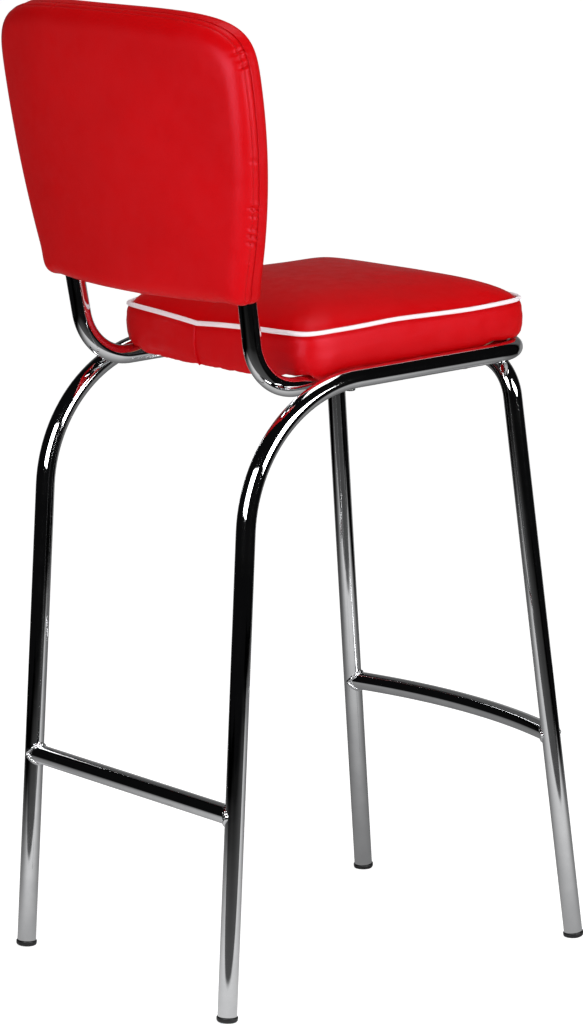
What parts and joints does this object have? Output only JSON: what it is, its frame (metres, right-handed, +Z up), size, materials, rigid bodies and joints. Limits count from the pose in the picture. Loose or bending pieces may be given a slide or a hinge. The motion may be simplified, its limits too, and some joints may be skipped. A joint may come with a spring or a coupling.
{
  "type": "diner counter stool",
  "caption": "Tall diner counter stool with a chromed bent-tube frame, a piped box cushion seat, a curved padded backrest and a bowed footrest.",
  "frame": {"origin": "on the floor, under the middle of the stool's bounding box", "axes": "+Z up, +X to the sitter's left, -Y the way the sitter faces, so the backrest is at +Y"},
  "size_m": [0.4316, 0.5786, 1.1135],
  "materials": {
    "chrome": "mirror-polished chromed steel tube",
    "zinc": "zinc-plated fasteners",
    "cap_black": "moulded black leg caps, satin",
    "vinyl_red": "red upholstery vinyl with a fine grain, satin",
    "vinyl_white": "white vinyl piping, satin",
    "foam": "upholstery foam, hidden under the covers",
    "plywood": "plain plywood, hidden under the covers",
    "fleece": "black fleece dust cover"
  },
  "bodies": {
    "root": {"main_frame_tube": "chrome", "front_leg_hoop": "chrome", "rear_stretcher": "chrome", "footrest_bar": "chrome", "back_tube_right": "chrome", "back_tube_left": "chrome", "leg_cap_rear_right": "cap_black", "leg_cap_rear_left": "cap_black", "leg_cap_front_right": "cap_black", "leg_cap_front_left": "cap_black", "seat_board": "plywood", "seat_dust_cover": "fleece", "seat_foam": "foam", "seat_cover_top": "vinyl_red", "seat_cover_band": "vinyl_red", "seat_piping": "vinyl_white", "seat_bolt_1": "zinc", "seat_bolt_2": "zinc", "seat_bolt_3": "zinc", "seat_bolt_4": "zinc", "seat_washer_1": "zinc", "seat_washer_2": "zinc", "seat_washer_3": "zinc", "seat_washer_4": "zinc", "seat_tee_nut_1": "zinc", "seat_tee_nut_2": "zinc", "seat_tee_nut_3": "zinc", "seat_tee_nut_4": "zinc", "backrest_board": "plywood", "backrest_front_foam": "foam", "backrest_rear_foam": "foam", "backrest_cover_rear": "vinyl_red", "backrest_cover_front": "vinyl_red", "backrest_screw_1": "zinc", "backrest_screw_2": "zinc", "backrest_screw_3": "zinc", "backrest_screw_4": "zinc"}
  },
  "joints": []
}
